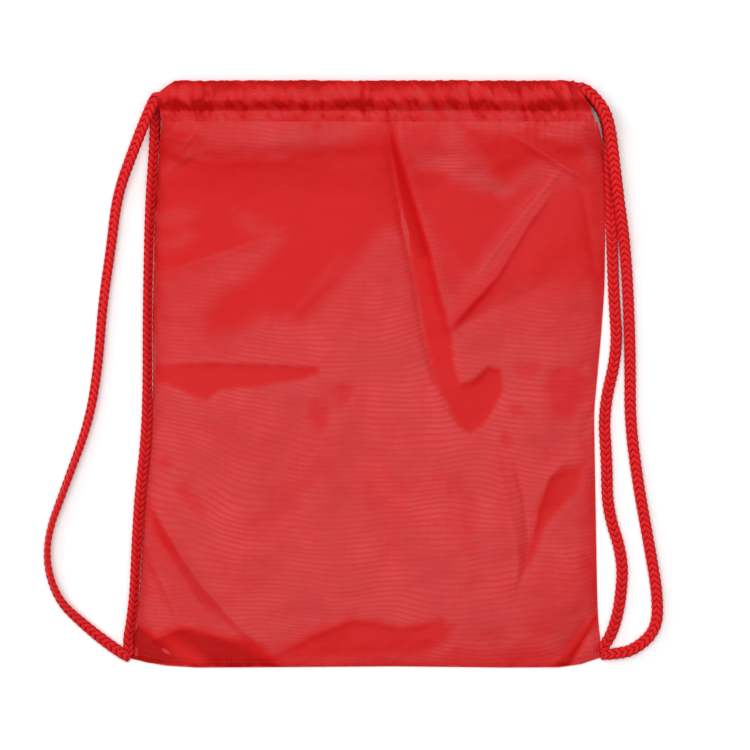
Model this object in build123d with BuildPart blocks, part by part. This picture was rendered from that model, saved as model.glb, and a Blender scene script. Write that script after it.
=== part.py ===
"""Drawstring bag of thin woven nylon, lying flat, with two braided drawcords that are also its straps.

Frame: +X to the bag's right, +Y from the bottom seam to the mouth, +Z up from the surface that it
lies on. The origin is on that surface, at the centre of the bag's outline. Millimetres throughout.
"""

from build123d import *
from math import pi, radians, tan
import os

# Bag size, lying flat.
HALF_LENGTH = 213.5  # from the centre to the mouth's edge, and to the bottom seam
HEM_LINE_Y = 184.0  # where the panels end and the stitched-down hems begin
TUNNEL_LEFT_X = -140.0
TUNNEL_RIGHT_X = 148.0

# Cloth and thread.
PANEL_T = 0.8  # stand-in for one layer of cloth with its slack
HEM_WALL = 0.6
HEM_FLAT_T = 1.2  # the two layers between the tunnel and its stitch line
SEAM_BAND = 8.0  # where both panels are pressed together along the seams
THREAD_W = 0.8
THREAD_T = 0.4
SIDE_SEAM_HIGH_Y = 178.0  # where a side seam ends, at the foot of the mouth's slit
SIDE_SEAM_LOW_Y = -195.0
OVERLOCK_W = 2.5
OVERLOCK_INSET = 13.0  # from the outline, just inside the hollow
OVERLOCK_BOTTOM_Y = -195.5
OVERLOCK_SIDE_LOW_Y = -190.0
ROOF_Z = 13.4  # top of the front panel over the bag's hollow
ROOF_RUN = 42.0  # how far the front panel takes to rise from the seam to the roof

# Hem tunnels, back one on the surface and front one above it.
TUNNEL_W = 18.8
TUNNEL_H = 7.0
MOUTH_GAP = 5.2
TUNNEL_Y = HALF_LENGTH - TUNNEL_W / 2
BACK_TUNNEL_Z = TUNNEL_H / 2
FRONT_TUNNEL_Z = TUNNEL_H + MOUTH_GAP + TUNNEL_H / 2

# Drawcords. Inside the tunnels the braid is pressed flat, two runs side by side.
FLAT_CORD_W = 7.8
FLAT_CORD_H = 5.4
LOWER_RUN_Y = 199.4
UPPER_RUN_Y = 208.8
CORD_D = 7.0
LEFT_RUN_END_X = -150.8  # the flat runs stop just short of the free strands' swinging ends
RIGHT_RUN_END_X = 160.2
TURN_CLEARANCE = 0.4  # between a tunnel's end and the start of a cord's turn

# Routes of the four free strands, each from its tunnel to the bottom corner where it is sewn in.
LEFT_OUTER_ROUTE = [
    (-155, 198.4, 15.7), (-160.5, 186.5, 14.8), (-169.8, 164, 10.0), (-182.5, 131, 4.2),
    (-187, 92, 3.6), (-193, 52, 3.6), (-196, 9, 3.6), (-202.5, -33, 3.6), (-219, -78, 3.6),
    (-236, -124, 3.6), (-228, -162, 3.6), (-204.5, -184, 3.6), (-181, -202, 3.8),
]
LEFT_INNER_ROUTE = [
    (-155, 198.4, 3.7), (-155.2, 185, 3.6), (-156.4, 163, 3.6), (-159, 126, 3.6), (-160.2, 84, 3.6),
    (-161.2, 38, 3.6), (-160.8, -8, 3.6), (-161.5, -46, 3.6), (-166.5, -84, 3.6),
    (-169, -124, 3.6), (-170.4, -158, 3.6), (-173, -181, 3.6), (-175.2, -195, 3.8),
]
RIGHT_INNER_ROUTE = [
    (164.5, 203.8, 3.7), (170.5, 195.5, 3.6), (174, 180.5, 3.6), (175.8, 158, 3.6), (177.4, 128, 3.6),
    (178.5, 90, 3.6), (180, 52, 3.6), (182.5, 18, 3.6), (171.8, -26, 3.6), (174.6, -64, 3.6),
    (174.8, -98, 3.6), (186.6, -134, 3.6), (184.5, -165, 3.6), (180.2, -183, 3.6),
    (173.8, -194.5, 4.0),
]
RIGHT_OUTER_ROUTE = [
    (164.5, 203.8, 15.7), (172.3, 195.5, 15.6), (177.4, 180.5, 15.4), (180.8, 158, 14.2),
    (184, 130, 11.8), (189.2, 92, 3.9), (190.6, 50, 3.6), (191.6, 8, 3.6), (191.4, -34, 3.6),
    (197, -78, 3.6), (205, -122, 3.6), (211.6, -160, 3.6), (211, -186, 3.6), (194, -201, 3.6),
    (178, -203.5, 3.8),
]

# The panels' outline, from the bottom left corner round to the left end of the hem and back down.
OUTLINE = [
    (-172.6, -207), (-124, -HALF_LENGTH), (140, -HALF_LENGTH), (170.6, -206), (166.5, -100),
    (165.3, -30), (172.6, 60), (167.5, HEM_LINE_Y), (-149.4, HEM_LINE_Y), (-155, 126), (-156.8, 40),
    (-156.4, -10), (-157.8, -46), (-162, -84), (-166, -158),
]
CORNERS_ON_MOUTH = (7, 8)  # the outline's two points at the ends of the hem line
RIGHT_SIDE = slice(3, 8)
LEFT_SIDE = slice(8, 15)
HILL_POINTS = (0, 1, 2, 3, 5, 6, 7, 8, 9, 11, 13)  # the ones that the front panel's hill follows


def save(solid, label):
    """Name one finished piece and write it."""
    solid.label = label
    export_step(solid, f"parts/{label}.step")


def inset_outline(distance, past_mouth=0.0):
    """The outline moved in from its seams; the mouth's side keeps its line, or goes past it."""
    left_in = Vector(distance, 0)
    moved = []
    for index, (x, y) in enumerate(OUTLINE):
        inward = left_in if x < 0 else left_in * -1
        if index in CORNERS_ON_MOUTH:
            moved.append((x + inward.X, y + past_mouth))
        elif y < -200:
            moved.append((x + inward.X * (1 if abs(x) > 150 else 0.75), y + distance))
        else:
            moved.append((x + inward.X, y))
    return moved


def frustum(low_inset, low_z, high_inset, high_z, past_mouth=0.0):
    """A flat-topped hill over the outline, upright at the mouth."""
    with BuildPart() as hill:
        for inset, z in ((low_inset, low_z), (high_inset, high_z)):
            edge = inset_outline(inset, past_mouth)
            with BuildSketch(Plane.XY.offset(z)):
                with BuildLine():
                    Polyline(*[edge[index] for index in HILL_POINTS], close=True)
                make_face()
        loft(ruled=True)
    return hill.part


def panels():
    """The two panels: the back one flat on the surface, the front one arched over the hollow."""
    with BuildPart() as back_panel:
        with BuildSketch():
            with BuildLine():
                Polyline(*OUTLINE, close=True)
            make_face()
        extrude(amount=PANEL_T)
    save(back_panel.part, "back_panel")

    arch = frustum(SEAM_BAND, PANEL_T, SEAM_BAND + ROOF_RUN, ROOF_Z)
    hollow = frustum(
        SEAM_BAND + 1.2, PANEL_T, SEAM_BAND + ROOF_RUN + 1.2, ROOF_Z - PANEL_T, past_mouth=2.0
    )
    with BuildPart() as front_panel:
        with BuildSketch(Plane.XY.offset(PANEL_T)):
            with BuildLine():
                Polyline(*OUTLINE, close=True)
            make_face()
        extrude(amount=PANEL_T)
        add(arch)
        add(hollow, mode=Mode.SUBTRACT)
    save(front_panel.part, "front_panel")


def hem(label, tunnel_z, flat_low_z):
    """One folded and stitched hem: a flat double layer, then the tunnel that holds the cords."""
    length = TUNNEL_RIGHT_X - TUNNEL_LEFT_X
    across = Plane((TUNNEL_LEFT_X, 0, 0), x_dir=(0, 1, 0), z_dir=(1, 0, 0))
    with BuildPart() as folded:
        with BuildSketch(across):
            with Locations((TUNNEL_Y, tunnel_z)):
                SlotOverall(TUNNEL_W, TUNNEL_H)
            flat_end = TUNNEL_Y - TUNNEL_W / 2 + TUNNEL_H / 2
            with Locations(((HEM_LINE_Y + flat_end) / 2, flat_low_z + HEM_FLAT_T / 2)):
                Rectangle(flat_end - HEM_LINE_Y, HEM_FLAT_T)
            with Locations((TUNNEL_Y, tunnel_z)):
                SlotOverall(TUNNEL_W - 2 * HEM_WALL, TUNNEL_H - 2 * HEM_WALL, mode=Mode.SUBTRACT)
        extrude(amount=length)
    save(folded.part, label)


def thread(label, points, z, width=THREAD_W):
    """A line of stitching laid on the cloth at height z."""
    with BuildPart() as stitched:
        with BuildSketch(Plane.XY.offset(z)):
            with BuildLine() as line:
                Polyline(*points)
            trace(line.line, line_width=width)
        extrude(amount=THREAD_T)
    save(stitched.part, label)


def between_seam_ends(points):
    """The same points, held between the two ends of a side seam."""
    return [(x, max(SIDE_SEAM_LOW_Y, min(y, SIDE_SEAM_HIGH_Y))) for x, y in points]


def seams():
    """Thread of the hems and seams, and the overlocked edge of the allowances inside the bag."""
    row = [(TUNNEL_LEFT_X + 4, HEM_LINE_Y + 1.5), (TUNNEL_RIGHT_X - 4, HEM_LINE_Y + 1.5)]
    thread("front_hem_stitching", row, ROOF_Z)
    thread("back_hem_stitching", row, HEM_FLAT_T)
    line = inset_outline(SEAM_BAND / 2)
    on_front = 2 * PANEL_T
    thread("left_side_seam_stitching", between_seam_ends(line[LEFT_SIDE] + line[:1]), on_front)
    thread("right_side_seam_stitching", between_seam_ends(line[RIGHT_SIDE]), on_front)
    bottom = [(line[0][0] + 3, line[0][1]), line[1], line[2], (line[3][0] - 3, line[3][1])]
    thread("bottom_seam_stitching", bottom, on_front)
    edge = inset_outline(OVERLOCK_INSET)
    thread(
        "left_overlock_thread",
        [(edge[8][0], SIDE_SEAM_HIGH_Y)] + edge[9:15] + [(-156.4, OVERLOCK_SIDE_LOW_Y)],
        PANEL_T,
        OVERLOCK_W,
    )
    thread(
        "right_overlock_thread",
        [(156.8, OVERLOCK_SIDE_LOW_Y)] + edge[4:7] + [(edge[7][0], SIDE_SEAM_HIGH_Y)],
        PANEL_T,
        OVERLOCK_W,
    )
    across = [(-146, OVERLOCK_BOTTOM_Y), (146, OVERLOCK_BOTTOM_Y)]
    thread("bottom_overlock_thread", across, PANEL_T, OVERLOCK_W)


def bartack(label, centre, size, z):
    """A dense block of zigzag thread that locks a seam's end."""
    with BuildPart() as block:
        with BuildSketch(Plane.XY.offset(z)):
            with Locations(centre):
                RectangleRounded(size[0], size[1], 0.6)
        extrude(amount=0.7)
    save(block.part, label)


def bartacks():
    """Locks at the foot of each mouth slit and over the sewn-in cord ends."""
    bartack("left_slit_bartack", (-145.6, 181.2), (6, 2.2), 2 * PANEL_T)
    bartack("right_slit_bartack", (163.6, 181.2), (6, 2.2), 2 * PANEL_T)
    bartack("left_corner_bartack", (-168.6, -200.5), (2.6, 6), 2 * PANEL_T)
    bartack("right_corner_bartack", (166.2, -199.8), (2.6, 6), 2 * PANEL_T)


def channel_run(label, run_y, turn_x, end_x):
    """One drawcord inside the bag: through the back tunnel, round at the far side, and back."""
    towards = 1 if turn_x > 0 else -1
    turn_start = turn_x + towards * TURN_CLEARANCE
    middle_z = (BACK_TUNNEL_Z + FRONT_TUNNEL_Z) / 2
    with BuildPart() as cord:
        for z in (BACK_TUNNEL_Z, FRONT_TUNNEL_Z):
            with BuildSketch(Plane((turn_start, run_y, z), x_dir=(0, 1, 0), z_dir=(-towards, 0, 0))):
                SlotOverall(FLAT_CORD_W, FLAT_CORD_H)
            extrude(amount=abs(turn_start - end_x))
        with BuildSketch(Plane((turn_start, run_y, BACK_TUNNEL_Z), x_dir=(0, 1, 0), z_dir=(1, 0, 0))):
            SlotOverall(FLAT_CORD_W, FLAT_CORD_H)
        revolve(
            axis=Axis((turn_start, run_y, middle_z), (0, -towards, 0)),
            revolution_arc=180,
        )
    save(cord.part, label)


def free_strand(label, route):
    """A round tube along a route of straight runs joined by arcs as wide as the runs allow."""
    points = [Vector(*p) for p in route]
    runs = [(b - a).length for a, b in zip(points, points[1:])]
    turns = [(b - a).get_angle(c - b) for a, b, c in zip(points, points[1:], points[2:])]
    radii = [
        0.45 * min(before, after) / tan(radians(turn / 2))
        for before, after, turn in zip(runs, runs[1:], turns)
    ]
    with BuildPart() as cord:
        with BuildLine() as path:
            FilletPolyline(*points, radius=radii)
        with BuildSketch(Plane(path.line @ 0, z_dir=path.line % 0)):
            Circle(CORD_D / 2)
        sweep()
    save(cord.part, label)
    length = path.wire().length
    swept = pi * CORD_D**2 / 4 * length
    print(
        f"{label}: {length:.0f} mm long, runs {min(runs):.0f} to {max(runs):.0f} mm, "
        f"turns up to {max(turns):.0f} degrees, smallest radius {min(radii):.0f} mm, "
        f"volume {cord.part.volume / swept:.3f} of section times length"
    )


os.makedirs("parts", exist_ok=True)
panels()
hem("back_hem_tunnel", BACK_TUNNEL_Z, 0.0)
hem("front_hem_tunnel", FRONT_TUNNEL_Z, ROOF_Z - HEM_FLAT_T)
seams()
bartacks()
channel_run("left_drawcord_channel_run", LOWER_RUN_Y, TUNNEL_RIGHT_X, LEFT_RUN_END_X)
channel_run("right_drawcord_channel_run", UPPER_RUN_Y, TUNNEL_LEFT_X, RIGHT_RUN_END_X)
free_strand("left_outer_strand", LEFT_OUTER_ROUTE)
free_strand("left_inner_strand", LEFT_INNER_ROUTE)
free_strand("right_inner_strand", RIGHT_INNER_ROUTE)
free_strand("right_outer_strand", RIGHT_OUTER_ROUTE)
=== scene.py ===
"""Drawstring bag of thin red nylon with two braided drawcords, lying flat on a pale floor.

Metres, in the CAD model's frame: +X to the bag's right, +Y from the bottom seam to the mouth, +Z up.
The camera and the cords come first, then the cloth, then the thread. Places and sizes of the bag are
written in millimetres, and MM turns them into metres.
"""

import math

import bpy
import numpy as np
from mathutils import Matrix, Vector, noise


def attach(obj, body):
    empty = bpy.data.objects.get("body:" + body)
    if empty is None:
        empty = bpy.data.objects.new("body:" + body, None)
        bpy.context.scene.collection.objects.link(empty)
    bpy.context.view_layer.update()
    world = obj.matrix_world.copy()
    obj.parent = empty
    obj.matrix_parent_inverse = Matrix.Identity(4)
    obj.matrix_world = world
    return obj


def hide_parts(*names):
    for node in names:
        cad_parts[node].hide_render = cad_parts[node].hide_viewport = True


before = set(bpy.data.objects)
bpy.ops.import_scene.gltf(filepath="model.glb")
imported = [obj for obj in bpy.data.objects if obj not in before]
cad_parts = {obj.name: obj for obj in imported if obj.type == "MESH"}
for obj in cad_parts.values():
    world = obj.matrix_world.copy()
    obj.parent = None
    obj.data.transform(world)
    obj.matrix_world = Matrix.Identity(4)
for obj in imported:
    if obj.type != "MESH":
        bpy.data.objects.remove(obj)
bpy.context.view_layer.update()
MM = 0.001

# ------------ camera, light and floor
VIEW_WIDTH = 0.5475
CAMERA_HEIGHT = 2.2
CAMERA_X = 5.5 * MM
SENSOR_WIDTH = 36
SKY_STRENGTH = 0.36
FLOOR_HALF = 6.0
FLOOR_Z = -0.4 * MM


def linked(name, data):
    """A new object in the scene."""
    made = bpy.data.objects.new(name, data)
    bpy.context.collection.objects.link(made)
    return made


def camera_overhead():
    lens = bpy.data.cameras.new("overhead_camera")
    lens.sensor_width = SENSOR_WIDTH
    lens.lens = SENSOR_WIDTH * CAMERA_HEIGHT / VIEW_WIDTH
    camera = linked("overhead_camera", lens)
    camera.location = (CAMERA_X, 0, CAMERA_HEIGHT)
    bpy.context.scene.camera = camera


def softbox(name, place, size, power):
    """A soft light that is aimed at the bag's middle."""
    lamp = bpy.data.lights.new(name, "AREA")
    lamp.shape = "RECTANGLE"
    lamp.size, lamp.size_y = size
    lamp.energy = power
    holder = linked(name, lamp)
    holder.location = place
    holder.rotation_euler = (-Vector(place)).to_track_quat("-Z", "Y").to_euler()


def studio():
    scene = bpy.context.scene
    scene.view_settings.view_transform = "Standard"
    world = bpy.data.worlds.new("pale_studio")
    world.use_nodes = True
    sky = world.node_tree.nodes["Background"].inputs
    sky["Color"].default_value = (1, 1, 1, 1)
    sky["Strength"].default_value = SKY_STRENGTH
    scene.world = world
    softbox("softbox_overhead", (-0.2, 0.3, 2.6), size=(3.0, 3.0), power=70)
    softbox("softbox_left", (-2.0, 1.6, 1.2), size=(0.7, 1.2), power=20)
    floor_mesh = bpy.data.meshes.new("studio_floor")
    s, z = FLOOR_HALF, FLOOR_Z
    floor_mesh.from_pydata([(-s, -s, z), (s, -s, z), (s, s, z), (-s, s, z)], [], [(0, 1, 2, 3)])
    floor = linked("studio_floor", floor_mesh)
    paper = bpy.data.materials.new("white_paper")
    paper.use_nodes = True
    white = paper.node_tree.nodes["Principled BSDF"].inputs
    white["Base Color"].default_value = (0.95, 0.95, 0.95, 1)
    white["Roughness"].default_value = 0.9
    floor_mesh.materials.append(paper)


camera_overhead()
studio()


# ------------ shader arithmetic
class Value:
    """A shader socket that numbers and other sockets can be added to, taken from or multiplied by."""

    def __init__(self, finish, socket):
        self.finish, self.socket = finish, socket

    def math(self, operation, first, second=0.0):
        return self.finish.node("ShaderNodeMath", {0: first, 1: second}, operation=operation)

    def __add__(self, other):
        return self.math("ADD", self, other)

    def __radd__(self, other):
        return self.math("ADD", other, self)

    def __sub__(self, other):
        return self.math("SUBTRACT", self, other)

    def __rsub__(self, other):
        return self.math("SUBTRACT", other, self)

    def __mul__(self, other):
        return self.math("MULTIPLY", self, other)

    def __rmul__(self, other):
        return self.math("MULTIPLY", other, self)

    def sine(self):
        return self.math("SINE", self)

    def clamped(self):
        return self.math("MAXIMUM", self.math("MINIMUM", self, 1.0), 0.0)


class Finish:
    """One material, built by expressions on its sockets."""

    def __init__(self, name):
        self.material = bpy.data.materials.new(name)
        self.material.use_nodes = True
        self.tree = self.material.node_tree
        self.shader = self.tree.nodes["Principled BSDF"]

    def put(self, socket, value):
        if isinstance(value, Value):
            self.tree.links.new(value.socket, socket)
        elif isinstance(value, (tuple, list)) and len(value) == 3 and socket.type == "RGBA":
            socket.default_value = (*value, 1)
        else:
            socket.default_value = value

    def node(self, kind, sockets=None, output=0, **settings):
        made = self.tree.nodes.new(kind)
        for name, value in settings.items():
            setattr(made, name, value)
        for name, value in (sockets or {}).items():
            self.put(made.inputs[name], value)
        return Value(self, made.outputs[output])

    def surface(self, **sockets):
        """Plain values and links of the main shader, by its sockets' names with _ for spaces."""
        for name, value in sockets.items():
            self.put(self.shader.inputs[name.replace("_", " ")], value)

    def mix(self, share, low, high):
        """A colour between low and high."""
        return self.node("ShaderNodeMix", {0: share, 6: low, 7: high}, output=2, data_type="RGBA")

    def parts(self, vector):
        split = self.node("ShaderNodeSeparateXYZ", {0: vector}).socket.node
        return [Value(self, split.outputs[axis]) for axis in range(3)]

    def place(self, *sockets):
        return self.node("ShaderNodeCombineXYZ", dict(enumerate(sockets)))

    def clouds(self, where, scale, detail, roughness=0.5):
        """Soft noise from 0 to 1."""
        sockets = {"Vector": where, "Scale": scale, "Detail": detail, "Roughness": roughness}
        return self.node("ShaderNodeTexNoise", sockets, noise_dimensions="3D")

    def streaks(self, across, along, detail, roughness=0.5):
        """Noise that is drawn out one way in the map."""
        return self.clouds(self.place(across, along, 0.0), 1.0, detail, roughness)

    def attribute(self, name):
        return self.node("ShaderNodeAttribute", output=2, attribute_name=name)

    def uv(self):
        return self.node("ShaderNodeUVMap", uv_map="cloth_run")

    def object_place(self):
        return self.node("ShaderNodeTexCoord", output=3)

    def bump(self, height, distance, strength, under=None):
        sockets = {"Height": height, "Distance": distance, "Strength": strength}
        if under is not None:
            sockets["Normal"] = under
        return self.node("ShaderNodeBump", sockets)


# ------------ drawcords
# The CAD tubes' routes, in millimetres, each from its tunnel to its bottom corner. A few points are moved
# by up to 2.5 mm, and each route has one more point, at the corner where the braid is sewn in.
# A point without a height lies on the floor, at STRAND_Z.
# Each strand: its length in metres, its route, and how far its face is turned up on its edge, in degrees.
STRANDS = {
    "left_outer": (0.434, [
        (-155, 198.4, 15.7), (-160.5, 186.5, 14.8), (-169.8, 164, 10.0), (-182.5, 131, 4.2), (-187, 92),
        (-193, 52), (-196, 9), (-202.5, -33), (-219, -78), (-236, -124), (-228, -162), (-204.5, -184),
        (-183, -200.5), (-173.5, -206.5, 2.6),
    ], [8, 10, 22, 34, 42, 46, 48, 54, 66, 76, 62, 34, 14, 6]),
    "left_inner": (0.394, [
        (-155, 198.4, 3.7), (-154.6, 185), (-155.6, 163), (-158.4, 126), (-159.6, 84), (-160.4, 38),
        (-160.2, -8), (-161, -46), (-165.6, -84), (-168.2, -124), (-169.8, -158), (-172.6, -181),
        (-174.8, -194), (-173.8, -204, 2.8),
    ], [14, 34, 44, 50, 54, 56, 50, 30, 34, 44, 54, 56, 40, 14]),
    "right_inner": (0.405, [
        (163.2, 202.6, 3.7), (170.2, 195), (175.2, 180.5), (176.6, 158), (177.4, 128), (178.5, 90),
        (180, 52), (182.5, 18), (171.8, -26), (174.6, -64), (174.8, -98), (186.6, -134), (184.5, -165),
        (180.2, -183), (175.5, -193.5), (169.8, -202, 2.8),
    ], [0, 8, 12, 10, 8, 4, 4, 6, 10, 4, 8, 4, 10, 14, 10, 4]),
    "right_outer": (0.434, [
        (163.2, 202.6, 15.7), (170.8, 194.8, 15.6), (175.8, 180.5, 15.4), (178.6, 158, 14.2),
        (182.2, 130, 11.8), (188, 92, 3.9), (190.4, 50), (191.6, 8), (191.4, -34), (197, -78), (205, -122),
        (211.6, -160), (211, -186), (194, -201), (179, -203.5), (170.5, -204.5, 2.6),
    ], [0, 6, 12, 18, 24, 28, 28, 24, 20, 24, 28, 26, 20, 12, 6, 4]),
}
# The runs inside the tunnels, from the outer strand to the inner one, round the far side's turn.
TUNNEL_RUNS = {
    "left": [
        (-155, 198.4, 15.7), (-153.5, 201.6, 15.9), (-147, 200.6, 15.8), (-136, 200.0, 15.7),
        (0, 200.0, 15.7), (140, 200.0, 15.7), (148, 200.0, 15.7), (156, 200.0, 15.7), (156, 200.0, 3.5),
        (148, 200.0, 3.5), (140, 200.0, 3.5), (0, 200.0, 3.5), (-136, 200.0, 3.5), (-147, 200.6, 3.6),
        (-155, 202, 3.7), (-155, 198.4, 3.7),
    ],
    "right": [
        (163.2, 202.6, 15.7), (160.6, 205.4, 15.7), (154, 208.6, 15.7), (145, 208.8, 15.7),
        (0, 208.8, 15.7), (-124, 208.8, 15.7), (-132, 208.8, 15.7), (-141, 208.8, 15.7),
        (-141, 208.8, 3.5), (-132, 208.8, 3.5), (-124, 208.8, 3.5), (0, 208.8, 3.5), (145, 208.8, 3.5),
        (154, 208.6, 3.6), (160.6, 205.4, 3.7), (163.2, 202.6, 3.7),
    ],
}

FACE_WIDTH = 9.6 * MM
EDGE_WIDTH = 5.2 * MM
LAY = 18.5 * MM  # the length in which one bundle of yarn goes once round the braid
BUNDLES_EACH_WAY = 4
BUNDLE_WIDTH = 3.5 * MM
BUNDLE_THICK = 1.9 * MM
WEAVE_RISE = 0.72 * MM  # how far a bundle rises and sinks as it goes over and under the others
RING_STEP = 0.8 * MM
BUNDLE_SIDES = 8
STRAND_Z = 3.6
SLANTED = 0.25  # Y's share of a direction above which the braid is on a slant
END_THINNING = 0.22
TUNNEL_THINNING = 0.18


def spline_line(route):
    """Points along the smooth line that has the route's points as its control points."""
    curve = bpy.data.curves.new("route", "CURVE")
    curve.dimensions = "3D"
    spline = curve.splines.new("NURBS")
    spline.points.add(len(route) - 1)
    for point, place in zip(spline.points, route):
        point.co = (place[0] * MM, place[1] * MM, place[2] * MM, 1)
    spline.order_u = 3
    spline.use_endpoint_u = True
    spline.resolution_u = 24
    holder = linked("route", curve)
    drawn = holder.evaluated_get(bpy.context.evaluated_depsgraph_get())
    mesh = bpy.data.meshes.new_from_object(drawn)
    line = np.array([vertex.co for vertex in mesh.vertices], float)
    bpy.data.objects.remove(holder)
    bpy.data.curves.remove(curve)
    bpy.data.meshes.remove(mesh)
    return line


def travelled(points):
    """How far along a line each of its points is."""
    return np.concatenate([[0], np.cumsum(np.linalg.norm(np.diff(points, axis=0), axis=1))])


def evenly(line, step):
    """The same line with its points an even step apart."""
    gone = travelled(line)
    count = max(2, round(gone[-1] / step) + 1)
    wanted = np.linspace(0, gone[-1], count)
    return np.stack([np.interp(wanted, gone, line[:, axis]) for axis in range(3)], axis=1)


def softened(values, reach):
    """A running average along the first axis, with its ends kept."""
    weights = np.hanning(2 * reach + 3)[1:-1]
    weights /= weights.sum()
    padded = np.concatenate([[values[0]] * reach, values, [values[-1]] * reach])
    return np.apply_along_axis(np.convolve, 0, padded, weights, "valid")


def smooth(t):
    """A soft step from 0 to 1."""
    t = np.clip(t, 0, 1)
    return t * t * (3 - 2 * t)


def unit(vectors):
    return vectors / np.maximum(np.linalg.norm(vectors, axis=1, keepdims=True), 1e-12)


def square_to(along, vectors):
    """The unit vectors nearest to the given ones that are square to a line's directions."""
    return unit(vectors - along * np.sum(vectors * along, axis=1, keepdims=True))


def settle(line, roll):
    """Lift or lower a strand that lies on the floor so that its braid touches it."""
    half = np.hypot(FACE_WIDTH / 2 * np.sin(roll), EDGE_WIDTH / 2 * np.cos(roll))
    on_floor = np.clip((7 * MM - line[:, 2]) / (3 * MM), 0, 1)
    settled = line.copy()
    settled[:, 2] += (half - STRAND_Z * MM) * on_floor
    return settled


def braid_frames(centre, face_axis):
    """Unit vectors across the braid's face and out of it."""
    along = unit(np.gradient(centre, axis=0))
    for index in range(1, len(face_axis)):
        if face_axis[index] @ face_axis[index - 1] < 0:
            face_axis[index] *= -1
    face_axis = softened(face_axis, 6)
    across = square_to(along, face_axis)
    return across, np.cross(along, across)


def bundle_tube(centre, across, out, girth, first, last, way, start_angle):
    """Corners of one bundle's tube between two rings of the braid."""
    rings = np.arange(first, last + 1)
    angle = way * 2 * math.pi * rings * RING_STEP / LAY + start_angle
    rise = way * WEAVE_RISE * np.sin(2 * angle)
    wide = FACE_WIDTH / 2 - WEAVE_RISE - BUNDLE_THICK / 2
    high = EDGE_WIDTH / 2 - WEAVE_RISE - BUNDLE_THICK / 2
    c, s = np.cos(angle)[:, None], np.sin(angle)[:, None]
    outward = unit(across[rings] * c / wide + out[rings] * s / high)
    size = girth[rings][:, None]
    spread = across[rings] * c * wide + out[rings] * s * high + outward * rise[:, None]
    middle = centre[rings] + spread * size
    heading = unit(np.gradient(middle, axis=0))
    outward = square_to(heading, outward)
    sideways = np.cross(heading, outward)
    turns = np.arange(BUNDLE_SIDES) * 2 * math.pi / BUNDLE_SIDES
    corners = (
        middle[:, None, :]
        + sideways[:, None, :] * (np.cos(turns) * BUNDLE_WIDTH / 2)[None, :, None] * size[:, :, None]
        + outward[:, None, :] * (np.sin(turns) * BUNDLE_THICK / 2)[None, :, None] * size[:, :, None]
    )
    return corners, rings


def braid(name, centre, across, out, girth, first, last):
    """The mesh of one stretch of braid: eight bundles that go over and under each other in turn."""
    places, faces, runs = [], [], []
    for way in (1, -1):
        for index in range(BUNDLES_EACH_WAY):
            corners, rings = bundle_tube(
                centre, across, out, girth, first, last, way, index * 2 * math.pi / BUNDLES_EACH_WAY
            )
            base = len(places)
            places.extend(corners.reshape(-1, 3).tolist())
            count = len(rings)
            for ring in range(count - 1):
                for side in range(BUNDLE_SIDES):
                    after = (side + 1) % BUNDLE_SIDES
                    low, high = base + ring * BUNDLE_SIDES, base + (ring + 1) * BUNDLE_SIDES
                    faces.append((low + side, high + side, high + after, low + after))
                    near, far = rings[ring] * RING_STEP, rings[ring + 1] * RING_STEP
                    turn, next_turn = side / BUNDLE_SIDES, (side + 1) / BUNDLE_SIDES
                    runs.append([(turn, near), (turn, far), (next_turn, far), (next_turn, near)])
            top = base + (count - 1) * BUNDLE_SIDES
            faces.append(tuple(base + side for side in range(BUNDLE_SIDES)))
            faces.append(tuple(top + side for side in reversed(range(BUNDLE_SIDES))))
            runs += [[(0.5, 0)] * BUNDLE_SIDES] * 2
    return finished_mesh(name, places, faces, runs)


def finished_mesh(name, places, faces, runs):
    """A smooth-shaded object with its cloth_run map."""
    mesh = bpy.data.meshes.new(name)
    mesh.from_pydata([tuple(p) for p in places], [], faces)
    layer = mesh.uv_layers.new(name="cloth_run")
    layer.data.foreach_set("uv", np.array([uv for face in runs for uv in face], float).ravel())
    mesh.polygons.foreach_set("use_smooth", [True] * len(mesh.polygons))
    mesh.update()
    return linked(name, mesh)


def roll_along(route, roll, count):
    """The strand's roll in radians at evenly spaced places along it."""
    gone = travelled(np.array(route, float))
    return np.radians(np.interp(np.linspace(0, gone[-1], count), gone, roll))


def floor_axis(centre, roll):
    """Across the face of a strand: level and square to it, then turned up by its roll."""
    along = unit(np.gradient(centre, axis=0))
    level = unit(np.cross(along, np.array([0, 0, 1.0])))
    square = np.cross(level, along)
    return level * np.cos(roll)[:, None] + square * np.sin(roll)[:, None]


def braid_yarn():
    """Shiny polyester filament bundles, with a painted highlight on each bundle's outward face and painted
    shade on its sides.
    """
    finish = Finish("braid_yarn")
    run_x, run_y, _ = finish.parts(finish.uv())
    strands = finish.streaks(run_x * 46.0, run_y * 260.0, 2.0, 0.6)
    patches = finish.clouds(finish.object_place(), 210.0, 2.0)
    # Painted light on each bundle: lighter on its outward face, darker on its sides and inward face where
    # shade falls, broken by streaks and patches.
    crown = (run_x * (2 * math.pi)).sine() * 0.5 + 0.5
    painted_light_on_bundles = (crown * 2.8 - 2.05 + strands * 0.95 + patches * 0.25).clamped()
    finish.surface(
        Base_Color=finish.mix(painted_light_on_bundles, (0.26, 0.0002, 0.0004), (0.68, 0.013, 0.016)),
        Roughness=0.30 + 0.16 * strands,
        Normal=finish.bump(strands, 0.3 * MM, 0.8),
        Specular_IOR_Level=0.08,
    )
    return finish.material


CORD_FINISH = braid_yarn()


def laid_strand(name):
    """A free strand's even points, settled on the floor, and its roll at each of them."""
    _, route, roll = STRANDS[name]
    route = [(*place, STRAND_Z)[:3] for place in route]
    line = evenly(spline_line(route), RING_STEP)
    turn = roll_along(route, roll, len(line))
    return settle(line, turn), turn


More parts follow.
